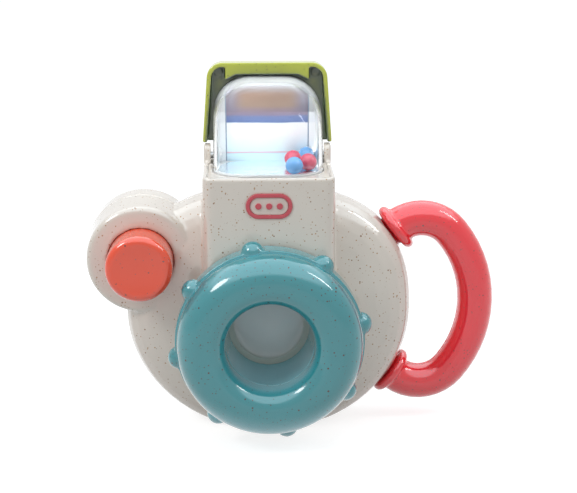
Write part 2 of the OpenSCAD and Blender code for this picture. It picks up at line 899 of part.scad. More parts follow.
module click_spring() {
  color(white)
    difference() {
      union() {
        forward(click_screw_place[0], click_screw_place[1])
          translate([-click_block[0] / 2, -click_block[1] / 2, retainer_back])
            cube([click_block[0], click_block[1], retainer_t]);
        forward(0, click_z) {
          translate([-click_arm_length, 0, retainer_back])
            cube([click_arm_length + 2 * bump_r, click_arm_t, retainer_t]);
          translate([0, click_arm_t + bump_rise, 0]) bar(bump_r, retainer_back, hub_end);
        }
      }
      forward(click_screw_place[0], click_screw_place[1])
        bar(small_screw_r + running_fit, retainer_back - past, hub_end + past);
    }
}

module click_screw() {
  color(steel)
    forward(click_screw_place[0], click_screw_place[1])
      small_screw(retainer_back, retainer_t + small_screw_length / 2);
}

module viewfinder_tube() {
  color(white)
    forward(0, lens_z)
      difference() {
        bar(window_r, tube_back, tube_front);
        bar(window_r - tube_wall, tube_back - past, tube_front + past);
      }
}

module eyepiece_window() {
  color(clear) forward(0, lens_z) bar(window_r, wall - case_rear + seat_fit, tube_back - seat_fit);
}

// Outline of the lid above the hinge, with rounded top corners and leaning sides
module lid_outline(half_low, half_high, low, high, corner) {
  lean = atan((half_low - half_high) / (high - low));
  corner_x = half_high - corner * tan((90 - lean) / 2);
  polygon([
    [-half_low, low],
    [half_low, low],
    [corner_x + corner * cos(lean), high - corner + corner * sin(lean)],
    [corner_x, high],
    [-corner_x, high],
    [-corner_x - corner * cos(lean), high - corner + corner * sin(lean)]
  ]);
  for (side = [-1, 1])
    translate([side * corner_x, high - corner]) circle(corner);
}

// Lip along the lid's top, with chamfered ends that reach lower
module lid_lip() {
  top = lid_high - lid_wall / 2;
  low = lid_high - lip_h;
  chamfer_x = lip_half_w - 2 * lip_drop;
  polygon([
    [-lip_half_w, top],
    [-lip_half_w, low - lip_drop],
    [-chamfer_x, low],
    [chamfer_x, low],
    [lip_half_w, low - lip_drop],
    [lip_half_w, top]
  ]);
}

module flash_lid() {
  color(lime)
    forward(0, hinge_z)
      translate([0, 0, -hinge_y]) {
        difference() {
          translate([0, 0, -lid_back])
            linear_extrude(lid_back + lid_rim)
              lid_outline(lid_half_low, lid_half_high, lid_low, lid_high, lid_corner);
          translate([0, 0, -mirror_back])
            linear_extrude(mirror_back + lid_rim + past)
              lid_outline(
                lid_half_low - lid_wall, lid_half_high - lid_wall,
                lid_low - past, lid_high - lid_wall, lid_corner - lid_wall
              );
        }
        translate([0, 0, -mirror_back - seat_fit])
          linear_extrude(mirror_back + lid_rim + seat_fit) lid_lip();
        translate([-drum_half_w + free_gap, free_gap - hinge_up, -lid_back])
          cube([2 * (drum_half_w - free_gap), lid_low + hinge_up, lid_wall]);
        for (side = [-1, 1])
          translate([side * (lid_half_high - lid_wall - mark_inset), lid_high - lid_wall - mark_inset, 0])
            bar(mark_r, -mirror_back - seat_fit, mark_h - mirror_back);
      }
}

// Quarter drum round the hinge axis, with rounded edges, cut level below and upright behind
module quarter_drum(r, half_w, edge, below, back) {
  intersection() {
    translate([0, hinge_y, hinge_z])
      rotate([0, 90, 0])
        rotate_extrude() {
          translate([0, -half_w]) square([r - edge, 2 * half_w]);
          translate([0, edge - half_w]) square([r, 2 * (half_w - edge)]);
          for (side = [-1, 1])
            translate([r - edge, side * (half_w - edge)]) circle(edge);
        }
    translate([-2 * half_w, hinge_y + back - 2 * r, hinge_z - below])
      cube([4 * half_w, 2 * r, 2 * r]);
  }
}

module flash_window() {
  pin_boss_r = hinge_pin_r + drum_t;
  color(clear)
    difference() {
      union() {
        difference() {
          quarter_drum(drum_r, drum_half_w, drum_edge, drum_below, drum_back);
          quarter_drum(
            drum_r - drum_t, drum_half_w - drum_t, drum_edge - drum_t, drum_below - drum_t, drum_back + past
          );
        }
        for (side = [-1, 1])
          translate([side * (drum_half_w - drum_t), hinge_y + drum_back - pin_boss_r, hinge_z])
            rotate([0, 90, 0]) cylinder(r = pin_boss_r, h = 2 * drum_t, center = true);
      }
      hinge_pin_places(hinge_pin_r + seat_fit / 2, past);
    }
}

// The two pins, from inside the window's walls to inside the ears
module hinge_pin_places(r, extra) {
  pin_in = drum_half_w - 2 * drum_t;
  pin_length = ear_in + ear_t - past - free_gap / 2 - pin_in;
  for (side = [0, 1])
    mirror([side, 0, 0])
      translate([pin_in, hinge_y, hinge_z])
        rotate([0, 90, 0]) cylinder(r = r, h = pin_length + extra);
}

module hinge_pins() {
  color(steel) hinge_pin_places(hinge_pin_r, 0);
}

module flash_mirror() {
  half_w = drum_half_w - seat_fit;
  color(silver)
    forward(0, hinge_z)
      translate([0, 0, -hinge_y - drum_back - seat_fit - mirror_t])
        linear_extrude(mirror_t) {
          translate([-half_w, seat_fit - drum_below]) square([2 * half_w, drum_r + drum_below - drum_edge]);
          translate([drum_edge - half_w, 0]) square([2 * (half_w - drum_edge), drum_r - seat_fit]);
          for (side = [-1, 1])
            translate([side * (half_w - drum_edge), drum_r - drum_edge - seat_fit]) circle(drum_edge);
        }
}

// One bead in its lane, counted from the front of the window
module bead(lane, x) {
  translate([x, hinge_y - bead_first + lane * bead_lane, bead_z]) sphere(bead_r);
}

module bead_blue_front() {
  color(blue) bead(0, bead_near);
}

module bead_red_front() {
  color(red) bead(1, bead_far);
}

module bead_red_rear() {
  color(red) bead(2, bead_near);
}

module bead_blue_rear() {
  color(blue) bead(3, bead_far);
}

// Place on the handle's upper end, by the distance past the bend: middle of the tube in the front
// view and the direction across it, which is that at the distance root
function end_place(along, root) =
  let (
    turn = bend_end + min(root, 0) / bend_r * 180 / PI,
    straight = along - min(root, 0)
  )
  [
    bend_mid_x + bend_r * cos(turn) - straight * sin(turn),
    bend_mid_z + bend_r * sin(turn) + straight * cos(turn),
    turn
  ];

// Distances and radii along one end, with the distance that sets the direction there: stop flange,
// spigot, round-edged collar and bend
function end_profile(reach) =
  let (
    stop_at = reach + wall + stop_gap,
    edge = collar_t / 2,
    collar_mid = reach - free_gap / 2 - edge,
    bend_start = min((collar_mid - edge - step_t) * bend_r / (bend_r - tube_r), 0),
    bend_length = (meet_angle - bend_end) * PI / 180 * bend_r
  )
  concat(
    [
      [stop_at + stop_t, stop_r, 0],
      [stop_at + step_t, stop_r, 0],
      [stop_at, spigot_r, 0],
      [collar_mid + edge, spigot_r, 0]
    ],
    [
      for (k = [0:collar_steps])
        let (turn = collar_turn * (1 - 2 * k / collar_steps))
        [collar_mid + edge * sin(turn), collar_r - edge + edge * cos(turn), 0]
    ],
    [[collar_mid - edge, tube_r, 0]],
    [
      for (k = [0:bend_steps])
        let (along = bend_start + (bend_length - bend_start) * k / bend_steps)
        [along, tube_r, along]
    ]
  );

// Places and radii of one end, from the stop flange to the long side
function end_path(side) =
  [
    for (q = end_profile(collar_reach(side)))
      let (place = end_place(q[0], q[2]))
      [place[0], side * place[1], side * place[2], q[1]]
  ];

// Half of the hollow handle in the front view, swept from the upper end to the lower one, with
// the case's middle as its level
module half_handle() {
  upper = end_path(1);
  lower = end_path(-1);
  path = concat(
    upper,
    [
      for (k = [1:grip_steps - 1])
        let (turn = meet_angle * (1 - 2 * k / grip_steps))
        [grip_mid_x + grip_r * cos(turn), grip_r * sin(turn), turn, tube_r]
    ],
    [for (k = [len(lower) - 1:-1:0]) lower[k]]
  );
  bore = spigot_r - handle_wall / 2;
  half_turns = [for (k = [0:section_steps]) 180 * k / section_steps];
  around = 2 * len(half_turns);
  points = [
    for (place = path)
      let (
        outer = [for (turn = half_turns) place[3] * [cos(turn), sin(turn)]],
        inner = [for (turn = half_turns) bore * [-cos(turn), sin(turn)]]
      )
      for (q = concat(outer, inner))
        [place[0] + q[0] * cos(place[2]), place[1] + q[0] * sin(place[2]), q[1]]
  ];
  sides = [
    for (k = [0:len(path) - 2])
      for (j = [0:around - 1])
        let (
          a = k * around + j,
          b = k * around + (j + 1) % around
        )
        each [
          [a, b + around, b],
          [a, a + around, b + around]
        ]
  ];
  first_end = [for (j = [0:around - 1]) j];
  last_end = [for (j = [around - 1:-1:0]) (len(path) - 1) * around + j];
  polyhedron(points, concat([first_end], sides, [last_end]));
}

module handle_front() {
  color(coral) forward(0, case_mid_z) half_handle();
}

module handle_rear() {
  color(coral) forward(0, case_mid_z) mirror([0, 0, 1]) half_handle();
}

module case_screws() {
  color(steel)
    for (place = case_screw_places)
      forward(place[0], place[1]) {
        bar(screw_head_r, -screw_seat - screw_head_t, -screw_seat);
        bar(screw_r, -screw_seat, screw_length - screw_seat);
      }
}

front_shell();
rear_cover();
well_floor();
badge_plate();
badge_rim();
badge_pips();
button_cap();
squeaker_bellows();
squeaker_reed();
lens_ring_front();
lens_ring_rear();
prism_lens();
lens_retainer();
retainer_screws();
click_spring();
click_screw();
viewfinder_tube();
eyepiece_window();
flash_lid();
flash_window();
flash_mirror();
hinge_pins();
bead_blue_front();
bead_red_front();
bead_red_rear();
bead_blue_rear();
handle_front();
handle_rear();
case_screws();
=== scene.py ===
import functools
import json
import math

import bpy
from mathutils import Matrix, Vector


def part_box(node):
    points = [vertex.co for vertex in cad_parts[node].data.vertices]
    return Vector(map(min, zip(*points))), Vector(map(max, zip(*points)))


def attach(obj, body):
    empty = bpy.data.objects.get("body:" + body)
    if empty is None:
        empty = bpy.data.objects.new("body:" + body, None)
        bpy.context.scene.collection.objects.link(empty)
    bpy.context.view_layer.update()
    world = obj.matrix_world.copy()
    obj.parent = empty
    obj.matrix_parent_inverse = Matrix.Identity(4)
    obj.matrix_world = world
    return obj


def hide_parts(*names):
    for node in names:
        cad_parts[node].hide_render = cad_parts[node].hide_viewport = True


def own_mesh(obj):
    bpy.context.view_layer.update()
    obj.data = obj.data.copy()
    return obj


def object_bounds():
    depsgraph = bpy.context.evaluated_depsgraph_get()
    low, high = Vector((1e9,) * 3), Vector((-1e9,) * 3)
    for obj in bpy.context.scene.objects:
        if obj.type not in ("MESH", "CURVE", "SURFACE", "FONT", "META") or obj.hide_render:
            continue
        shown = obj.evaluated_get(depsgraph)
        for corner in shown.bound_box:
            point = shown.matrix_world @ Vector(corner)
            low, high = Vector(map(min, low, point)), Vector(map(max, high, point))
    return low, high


bl_info = {
    "name": "Toy Camera",
    "version": (1, 0, 0),
    "blender": (4, 5, 0),
    "location": "3D View > Sidebar > Toy Camera",
    "description": "Dresses a toy camera with a turning ring, a squeaker button and a fold-down flash",
    "category": "Object",
}

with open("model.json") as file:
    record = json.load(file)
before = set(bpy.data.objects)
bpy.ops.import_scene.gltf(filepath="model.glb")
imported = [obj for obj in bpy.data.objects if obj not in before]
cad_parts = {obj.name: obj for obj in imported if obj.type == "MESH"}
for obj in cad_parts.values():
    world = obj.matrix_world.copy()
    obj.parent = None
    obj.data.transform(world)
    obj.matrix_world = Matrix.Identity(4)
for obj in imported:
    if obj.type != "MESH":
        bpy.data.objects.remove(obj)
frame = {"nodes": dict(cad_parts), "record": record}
CAD_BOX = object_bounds()
BODY_OF = {
    node: body
    for body, nodes in frame["record"]["behaviour"]["bodies"].items()
    for node in nodes
}
MM = 0.001
WHITE = (1, 1, 1)
EASED = "SMOOTHSTEP"

# Fibre specks of two sizes: how far apart they lie, how large they get, and where their pattern starts
SMALL_SPECKS = (1.55 * MM, 0.34 * MM, (0.31, 0.17, 0.05))
LARGE_SPECKS = (3.2 * MM, 0.48 * MM, (0.02, 0.43, 0.29))


def shade(red, green, blue):
    """A given colour, as the linear values that a shader takes."""
    return tuple(
        c / 12.92 if c <= 0.04045 else ((c + 0.055) / 1.055) ** 2.4
        for c in (red / 255, green / 255, blue / 255)
    )


def dimmed(tone, share):
    return tuple(share * c for c in tone)


def colour(name, description, value):
    return bpy.props.FloatVectorProperty(
        name=name, description=description, default=value, subtype="COLOR", size=3, min=0, max=1
    )


def length(name, description, value):
    return bpy.props.FloatProperty(
        name=name, description=description, default=value, subtype="DISTANCE", unit="LENGTH", precision=5
    )


def amount(name, description, value, unit="NONE"):
    return bpy.props.FloatProperty(name=name, description=description, default=value, min=0, unit=unit)


class ToyCameraColours(bpy.types.PropertyGroup):
    """Colours of the mouldings"""

    cream: colour("Case", "Cream of the case", shade(220, 210, 199))
    teal: colour("Ring", "Blue-green of the turning ring", shade(44, 142, 150))
    orange: colour("Button", "Orange of the push button", shade(243, 67, 8))
    coral: colour("Handle", "Coral of the handle", shade(250, 36, 50))
    lime: colour("Lid", "Green of the flash lid", shade(192, 200, 50))
    red: colour("Badge rim", "Red of the border round the badge", shade(205, 80, 92))
    beige: colour("Badge plate", "Pale plate inside the badge's border", shade(222, 205, 196))
    bead_blue: colour("Blue beads", "Blue of two beads", shade(88, 142, 192))
    bead_red: colour("Red beads", "Pink-red of two beads", shade(180, 62, 86))
    tan_speck: colour("Tan specks", "Fibre specks in the pale plastic", shade(176, 136, 96))
    dark_speck: colour("Dark specks", "Fibre specks in the strong colours", shade(58, 50, 44))


class ToyCameraEdges(bpy.types.PropertyGroup):
    """How finely the mouldings are rounded"""

    case_grain: length("Case grain", "Mesh size of the case shells", 0.78 * MM)
    ring_grain: length("Ring grain", "Mesh size of the turning ring", 0.51 * MM)
    lid_grain: length("Lid grain", "Mesh size of the flash lid", 0.45 * MM)
    ledge_grain: length("Ledge grain", "Mesh size of the ledge round the window", 0.3 * MM)
    handle_grain: length("Handle grain", "Mesh size of the handle", 0.6 * MM)
    badge_grain: length("Badge grain", "Mesh size of the badge's pieces", 0.22 * MM)
    button_grain: length("Button grain", "Mesh size of the push button", 0.4 * MM)
    button_flat: length("Button hollow", "Radius of the hollow in the button's face", 11.4 * MM)
    button_dish: length("Button dish", "Depth of that hollow", 0.8 * MM)


class ToyCameraStage(bpy.types.PropertyGroup):
    """Light on the object"""

    cool: colour("Overhead tint", "Tint of the light from above", (0.86, 0.94, 1.0))
    warm: colour("Side tint", "Tint of the soft light from the sides", (1.0, 0.965, 0.92))
    sky: amount("Sky", "Level of the soft light from straight above", 0.5)
    horizon: amount("Horizon", "Level of the soft light from the sides", 0.8)
    glaze: amount("Overhead glaze", "Level of the bright sky that shows in gloss", 2.9)
    top: amount("Top light", "Power of the soft light overhead", 3.9, "POWER")
    window: amount("Window light", "Power of the narrow light at the right", 0.9, "POWER")
    left: amount("Left light", "Power of the soft light at the left", 1.6, "POWER")


# Handling of pieces


def pick(obj):
    """Selects one object alone and makes it the active one."""
    bpy.ops.object.select_all(action="DESELECT")
    obj.select_set(True)
    bpy.context.view_layer.objects.active = obj
    return obj


def make(operator, name, **settings):
    """Adds an object with an operator and names it."""
    bpy.ops.object.select_all(action="DESELECT")
    operator(**settings)
    obj = bpy.context.view_layer.objects.active
    obj.name = obj.data.name = name
    return obj


def apply_place(obj):
    """Moves an object's place, turn and size into its mesh."""
    pick(obj)
    bpy.ops.object.transform_apply(location=True, rotation=True, scale=True)


def make_box(name, centre, size):
    box = make(bpy.ops.mesh.primitive_cube_add, name, size=1, location=centre)
    box.scale = size
    apply_place(box)
    return box


def cad_copy(node, name):
    """A merged copy of a CAD node, to be softened."""
    merge_within = 0.002 * MM
    pick(frame["nodes"][node])
    bpy.ops.object.duplicate()
    piece = bpy.context.view_layer.objects.active
    piece.name = piece.data.name = name
    piece.parent = None
    for key in [k for k in piece.keys() if k.startswith("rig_")]:
        del piece[key]
    bpy.ops.object.mode_set(mode="EDIT")
    bpy.ops.mesh.select_all(action="SELECT")
    bpy.ops.mesh.remove_doubles(threshold=merge_within)
    bpy.ops.object.mode_set(mode="OBJECT")
    return piece


def apply_modifier(piece, kind, **settings):
    pick(piece)
    modifier = piece.modifiers.new(kind.title(), kind)
    for key, value in settings.items():
        setattr(modifier, key, value)
    bpy.ops.object.modifier_apply(modifier=modifier.name)


def soften(piece, grain, rounds):
    """Rounds all edges of a moulding, as a tool cut with a small ball does."""
    apply_modifier(piece, "REMESH", mode="VOXEL", voxel_size=grain, use_smooth_shade=True)
    apply_modifier(piece, "SMOOTH", factor=0.5, iterations=rounds)


def cut(piece, cutter):
    """Takes the cutter's shape out of the piece."""
    apply_modifier(piece, "BOOLEAN", operation="DIFFERENCE", solver="EXACT", object=cutter)
    bpy.data.objects.remove(cutter)


def settle(piece, nodes, body, material, angle=35):
    """Dresses a finished piece and sets it on its body in the place of its CAD nodes."""
    piece.data.materials.clear()
    piece.data.materials.append(material)
    apply_place(piece)
    bpy.ops.object.shade_smooth_by_angle(angle=math.radians(angle))
    if nodes:
        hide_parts(*nodes)
    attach(piece, body)


def dress(node, material):
    """Gives a CAD node that stays as it is its finish."""
    mesh = frame["nodes"][node].data
    mesh.materials.clear()
    mesh.materials.append(material)


def middle(node):
    low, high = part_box(node)
    return (low + high) / 2


# Shader nodes


def add(tree, kind, **values):
    """A shader node, with its inputs and settings by name."""
    made = tree.nodes.new("ShaderNode" + kind)
    for key, value in values.items():
        if key in made.inputs:
            made.inputs[key].default_value = value
        else:
            setattr(made, key, value)
    return made


def new_finish(name):
    """A new material, its nodes, its shader and the place on the piece that its patterns read."""
    material = bpy.data.materials.new(name)
    material.use_nodes = True
    tree = material.node_tree
    return material, tree, tree.nodes["Principled BSDF"], add(tree, "TexCoord").outputs["Object"]


def set_inputs(shader, **values):
    """Sets a shader's inputs, with an underscore for each space in their names."""
    for key, value in values.items():
        shader.inputs[key.replace("_", " ")].default_value = value


def show(tree, surface):
    """Makes a shader the material's surface."""
    tree.links.new(surface, tree.nodes["Material Output"].inputs["Surface"])


def feed(tree, value, socket):
    """Links a socket to another one, or sets it to a plain value."""
    if isinstance(value, bpy.types.NodeSocket):
        tree.links.new(value, socket)
    else:
        socket.default_value = value


def combine(tree, operation, *values):
    """A product, maximum or the like of sockets and plain numbers."""
    node = add(tree, "Math", operation=operation)
    for value, socket in zip(values, node.inputs):
        feed(tree, value, socket)
    return node.outputs[0]


def remap(tree, value, start, end, first=0, last=1, ease="LINEAR"):
    """Goes from first to last while the value goes from start to end."""
    step = add(tree, "MapRange", interpolation_type=ease)
    set_inputs(step, From_Min=start, From_Max=end, To_Min=first, To_Max=last)
    tree.links.new(value, step.inputs["Value"])
    return step.outputs["Result"]


def noise(tree, place, scale, detail, roughness=0.5):
    cloud = add(tree, "TexNoise", Scale=scale, Detail=detail, Roughness=roughness)
    tree.links.new(place, cloud.inputs["Vector"])
    return cloud.outputs["Fac"]


def moved(tree, place, **settings):
    """The place, shifted or stretched."""
    mapping = add(tree, "Mapping", **settings)
    tree.links.new(place, mapping.inputs["Vector"])
    return mapping.outputs["Vector"]


def axes(tree, place):
    """The three parts of a place, by the names X, Y and Z."""
    parts = add(tree, "SeparateXYZ")
    tree.links.new(place, parts.inputs["Vector"])
    return parts.outputs


def mix_colour(tree, share, under, over):
    """Lays one colour over another; each is a socket or a plain colour."""
    mix = add(tree, "Mix", data_type="RGBA")
    tree.links.new(share, mix.inputs["Factor"])
    for value, socket in ((under, mix.inputs[6]), (over, mix.inputs[7])):
        feed(tree, value if isinstance(value, bpy.types.NodeSocket) else (*value, 1), socket)
    return mix.outputs[2]


def mix_shader(tree, share, under, over):
    """Lays one shader over another by a share."""
    mix = add(tree, "MixShader")
    for value, socket in zip((share, under, over), mix.inputs):
        tree.links.new(value, socket)
    return mix.outputs[0]


def speck_share(tree, place, spacing, radius, offset):
    """Where round specks of several sizes show, from 0 to 1."""
    smallest, soft_edge = 0.2, 0.25
    cells = add(tree, "TexVoronoi", Scale=1 / spacing)
    tree.links.new(moved(tree, place, Location=offset), cells.inputs["Vector"])
    chance = add(tree, "SeparateColor")
    tree.links.new(cells.outputs["Color"], chance.inputs["Color"])
    reach = radius / spacing
    size = remap(tree, chance.outputs["Red"], 0, 1, smallest * reach, reach)
    inside = combine(tree, "SUBTRACT", size, cells.outputs["Distance"])
    return remap(tree, inside, 0, soft_edge * reach)


def fine_surface(tree, shader, place, rough, spread, bump):
    """Slow changes of gloss and the faint ripple of a moulded skin."""
    patch_scale, ripple_scale, ripple_depth = 55, 320, 0.05 * MM
    patches = noise(tree, place, patch_scale, 4)
    tree.links.new(remap(tree, patches, 0.3, 0.7, rough, rough + spread), shader.inputs["Roughness"])
    relief = add(tree, "Bump", Strength=bump, Distance=ripple_depth)
    tree.links.new(noise(tree, place, ripple_scale, 3), relief.inputs["Height"])
    tree.links.new(relief.outputs["Normal"], shader.inputs["Normal"])


# Finishes


def kept(make_finish):
    """Makes a finish once, and hands it out again when its name comes back."""

    @functools.wraps(make_finish)
    def once(name, *values, **settings):
        return bpy.data.materials.get(name) or make_finish(name, *values, **settings)

    return once


@kept
def fibre_plastic(
    name, base, small_speck, large_speck, small=1.0, large=1.0, reach=5 * MM, shadow=0.35, onset=0.65,
    painted_hollow_tone=None
):
    """Glossy plastic filled with short plant fibres, which show as specks of the sizes small and large.
    Hollows narrower than the reach are painted towards the hollow tone by the shadow's share, below an
    openness of the onset: painted shade where that tone is darker, painted light where it is lighter."""
    cloud_scale, cloud_share, cloud_tone, painted_shade_dim = 38, 0.35, 0.9, 0.3
    material, tree, shader, place = new_finish(name)
    cloud = remap(tree, noise(tree, place, cloud_scale, 3), 0.35, 0.75, 0, cloud_share)
    tone = mix_colour(tree, cloud, base, dimmed(base, cloud_tone))
    for (spacing, radius, offset), size, speck in (
        (SMALL_SPECKS, small, small_speck), (LARGE_SPECKS, large, large_speck)
    ):
        tone = mix_colour(tree, speck_share(tree, place, spacing, size * radius, offset), tone, speck)
    # Painted shade in creases and hollows, read from the ambient occlusion; by default the hollow tone is
    # the base colour dimmed
    hollow = add(tree, "AmbientOcclusion", Distance=reach, samples=8)
    depth = remap(tree, hollow.outputs["AO"], onset - 0.5, onset, shadow, 0)
    tone = mix_colour(tree, depth, tone, painted_hollow_tone or dimmed(base, painted_shade_dim))
    tree.links.new(tone, shader.inputs["Base Color"])
    set_inputs(shader, Coat_Weight=0.8, Coat_Roughness=0.03)
    fine_surface(tree, shader, place, rough=0.1, spread=0.1, bump=0.12)
    return material


@kept
def plain_plastic(name, base, rough):
    """Unfilled plastic with a soft gloss."""
    cloud_scale, cloud_tone = 90, 0.93
    material, tree, shader, place = new_finish(name)
    tone = mix_colour(tree, noise(tree, place, cloud_scale, 3), base, dimmed(base, cloud_tone))
    tree.links.new(tone, shader.inputs["Base Color"])
    fine_surface(tree, shader, place, rough, spread=0.12, bump=0.1)
    return material


@kept
def clear_plastic(name, tint, index=1.49, window=None):
    """Polished clear plastic with faint wipe marks, which lets light through. A window, given by its
    back, its top and its foot, has pale rims of painted light."""
    haze, wiped_haze, wipe_scale = 0.015, 0.075, 120
    material, tree, shader, place = new_finish(name)
    set_inputs(shader, Base_Color=(*tint, 1), Transmission_Weight=1, IOR=index)
    wipes = noise(tree, place, wipe_scale, 5, roughness=0.65)
    tree.links.new(remap(tree, wipes, 0.45, 0.8, haze, wiped_haze), shader.inputs["Roughness"])
    body = shader.outputs[0]
    if window:
        body = painted_rims(tree, place, body, *window)
    through = add(tree, "BsdfTransparent", Color=(*tint, 1))
    shadow_ray = add(tree, "LightPath").outputs["Is Shadow Ray"]
    show(tree, mix_shader(tree, shadow_ray, body, through.outputs[0]))
    return material


def painted_rims(tree, place, clear, back, top, foot):
    """Glossy pale sides at the back of a window, and matt white near its top and just above its foot:
    painted light for the bright edges of thick clear plastic.
    """
    at = axes(tree, place)
    side_share, side_share_at_top, crown_share, foot_share = 0.85, 0.18, 0.38, 0.75
    sides = combine(
        tree, "MULTIPLY",
        remap(tree, at["Y"], back - 20 * MM, back - 10 * MM, 0, side_share, EASED),
        remap(tree, at["Z"], top - 20 * MM, top - 8 * MM, 1, side_share_at_top, EASED)
    )
    crown = combine(
        tree, "MULTIPLY",
        remap(tree, at["Y"], back - 15 * MM, back - 9 * MM, 0, crown_share, EASED),
        remap(tree, at["Z"], top - 14 * MM, top - 5 * MM, 0, 1, EASED)
    )
    hem = remap(tree, at["Z"], foot, foot + 1.6 * MM, foot_share, 0, EASED)
    pale = add(tree, "BsdfGlossy", Color=(0.97, 0.98, 0.98, 1), Roughness=0.3)
    painted_white = add(tree, "BsdfDiffuse", Color=(0.95, 0.96, 0.97, 1))
    body = mix_shader(tree, sides, clear, pale.outputs[0])
    return mix_shader(tree, combine(tree, "MAXIMUM", crown, hem), body, painted_white.outputs[0])


@kept
def lens_plastic(name, centre, radius):
    """Slightly smoky clear plastic under a matt pale layer, painted light for the light seen through the
    lens, with a paler matt rim round the lens axis, painted light for the bright edge of the lens.
    """
    painted_light_share, painted_rim_share, cloud_scale = 0.75, 0.8, 140
    material, tree, shader, place = new_finish(name)
    set_inputs(shader, Base_Color=(0.5, 0.52, 0.54, 1), Transmission_Weight=1, IOR=1.49, Roughness=0.02)
    across = add(tree, "VectorMath", operation="MULTIPLY")
    across.inputs[1].default_value = (1, 0, 1)
    tree.links.new(moved(tree, place, Location=-centre), across.inputs[0])
    away = add(tree, "VectorMath", operation="LENGTH")
    tree.links.new(across.outputs["Vector"], away.inputs[0])
    rim = remap(tree, away.outputs["Value"], 0.8 * radius, 0.86 * radius)
    # Painted light: a near-white matt layer over the lens and a pale beige rim round its edge
    tone = mix_colour(tree, noise(tree, place, cloud_scale, 4), shade(246, 240, 238), shade(252, 247, 244))
    tone = mix_colour(tree, rim, tone, shade(218, 217, 206))
    haze = add(tree, "BsdfDiffuse")
    tree.links.new(tone, haze.inputs["Color"])
    share = remap(tree, rim, 0, 1, painted_light_share, painted_rim_share)
    show(tree, mix_shader(tree, share, shader.outputs[0], haze.outputs[0]))
    return material


@kept
def plated_steel(name):
    """Zinc-plated steel with faint stains."""
    stain_scale = 260
    material, tree, shader, place = new_finish(name)
    tone = mix_colour(tree, noise(tree, place, stain_scale, 4), shade(205, 207, 210), shade(160, 160, 158))
    tree.links.new(tone, shader.inputs["Base Color"])
    set_inputs(shader, Metallic=1)
    fine_surface(tree, shader, place, rough=0.22, spread=0.2, bump=0.3)
    return material


@kept
def foil_mirror(name, low, high):
    """Silvered sheet whose painted reflection of pastel bands changes with its height, with lilac painted
    reflection at its upper sides, between two white margins.
    """
    sway, wave_scale, half, line_width = 0.03, 45, high.x, 0.3 * MM
    material, tree, shader, place = new_finish(name)
    at = axes(tree, place)
    level = remap(tree, at["Z"], low.z, high.z, -sway / 2, 1 - sway / 2)
    height = combine(tree, "MULTIPLY_ADD", noise(tree, place, wave_scale, 3), sway, level)
    away = combine(tree, "ABSOLUTE", at["X"])
    painted_side_reflection = combine(
        tree, "MULTIPLY", remap(tree, height, 0.55, 0.62, 0, 0.8, EASED),
        remap(tree, away, 0.42 * half, 0.72 * half, 0, 1, EASED)
    )
    margin = remap(tree, away, 0.78 * half, 0.81 * half, 0, 0.9, EASED)
    line = combine(tree, "COMPARE", away, 0.79 * half, line_width)
    # Painted reflection: pastel bands up the sheet and lilac towards its upper sides
    tone = mix_colour(tree, painted_side_reflection, painted_reflection_bands(tree, height), shade(146, 138, 164))
    tone = mix_colour(tree, margin, tone, shade(252, 253, 254))
    tone = mix_colour(tree, line, tone, shade(150, 164, 188))
    tree.links.new(tone, shader.inputs["Base Color"])
    set_inputs(shader, Metallic=1)
    fine_surface(tree, shader, place, rough=0.45, spread=0.1, bump=0.15)
    return material


def painted_reflection_bands(tree, height):
    """Painted reflection on the silvered sheet, by colour, from its foot at 0 to its top at 1."""
    bands = (
        (0.0, (214, 236, 246)), (0.1, (222, 242, 250)), (0.118, (214, 236, 246)),
        (0.128, (236, 176, 190)), (0.142, (232, 246, 250)), (0.25, (246, 253, 255)),
        (0.36, (255, 255, 255)), (0.462, (252, 252, 255)), (0.475, (106, 128, 182)),
        (0.535, (122, 136, 184)), (0.56, (150, 134, 160)), (0.62, (162, 138, 144)),
        (0.66, (172, 142, 122)), (0.8, (170, 130, 104)), (0.86, (158, 134, 130)),
        (0.92, (146, 132, 150)), (1.0, (140, 136, 156)),
    )
    painted_reflection_ramp = add(tree, "ValToRGB")
    stops = painted_reflection_ramp.color_ramp.elements
    while len(stops) < len(bands):
        stops.new(0.5)
    for stop, (at, tone) in zip(stops, bands):
        stop.position = at
        stop.color = (*shade(*tone), 1)
    tree.links.new(height, painted_reflection_ramp.inputs["Fac"])
    return painted_reflection_ramp.outputs["Color"]


@kept
def bluish_foil(name):
    """Silvered sheet with long pale blue and white streaks of painted reflection."""
    streak_scale = (25, 160, 1)
    material, tree, shader, place = new_finish(name)
    reflection_streaks = noise(tree, moved(tree, place, Scale=streak_scale), 1, 3)
    tone = mix_colour(tree, reflection_streaks, shade(200, 232, 246), WHITE)
    tree.links.new(tone, shader.inputs["Base Color"])
    set_inputs(shader, Metallic=1)
    fine_surface(tree, shader, place, rough=0.2, spread=0.1, bump=0.2)
    return material


# Pieces


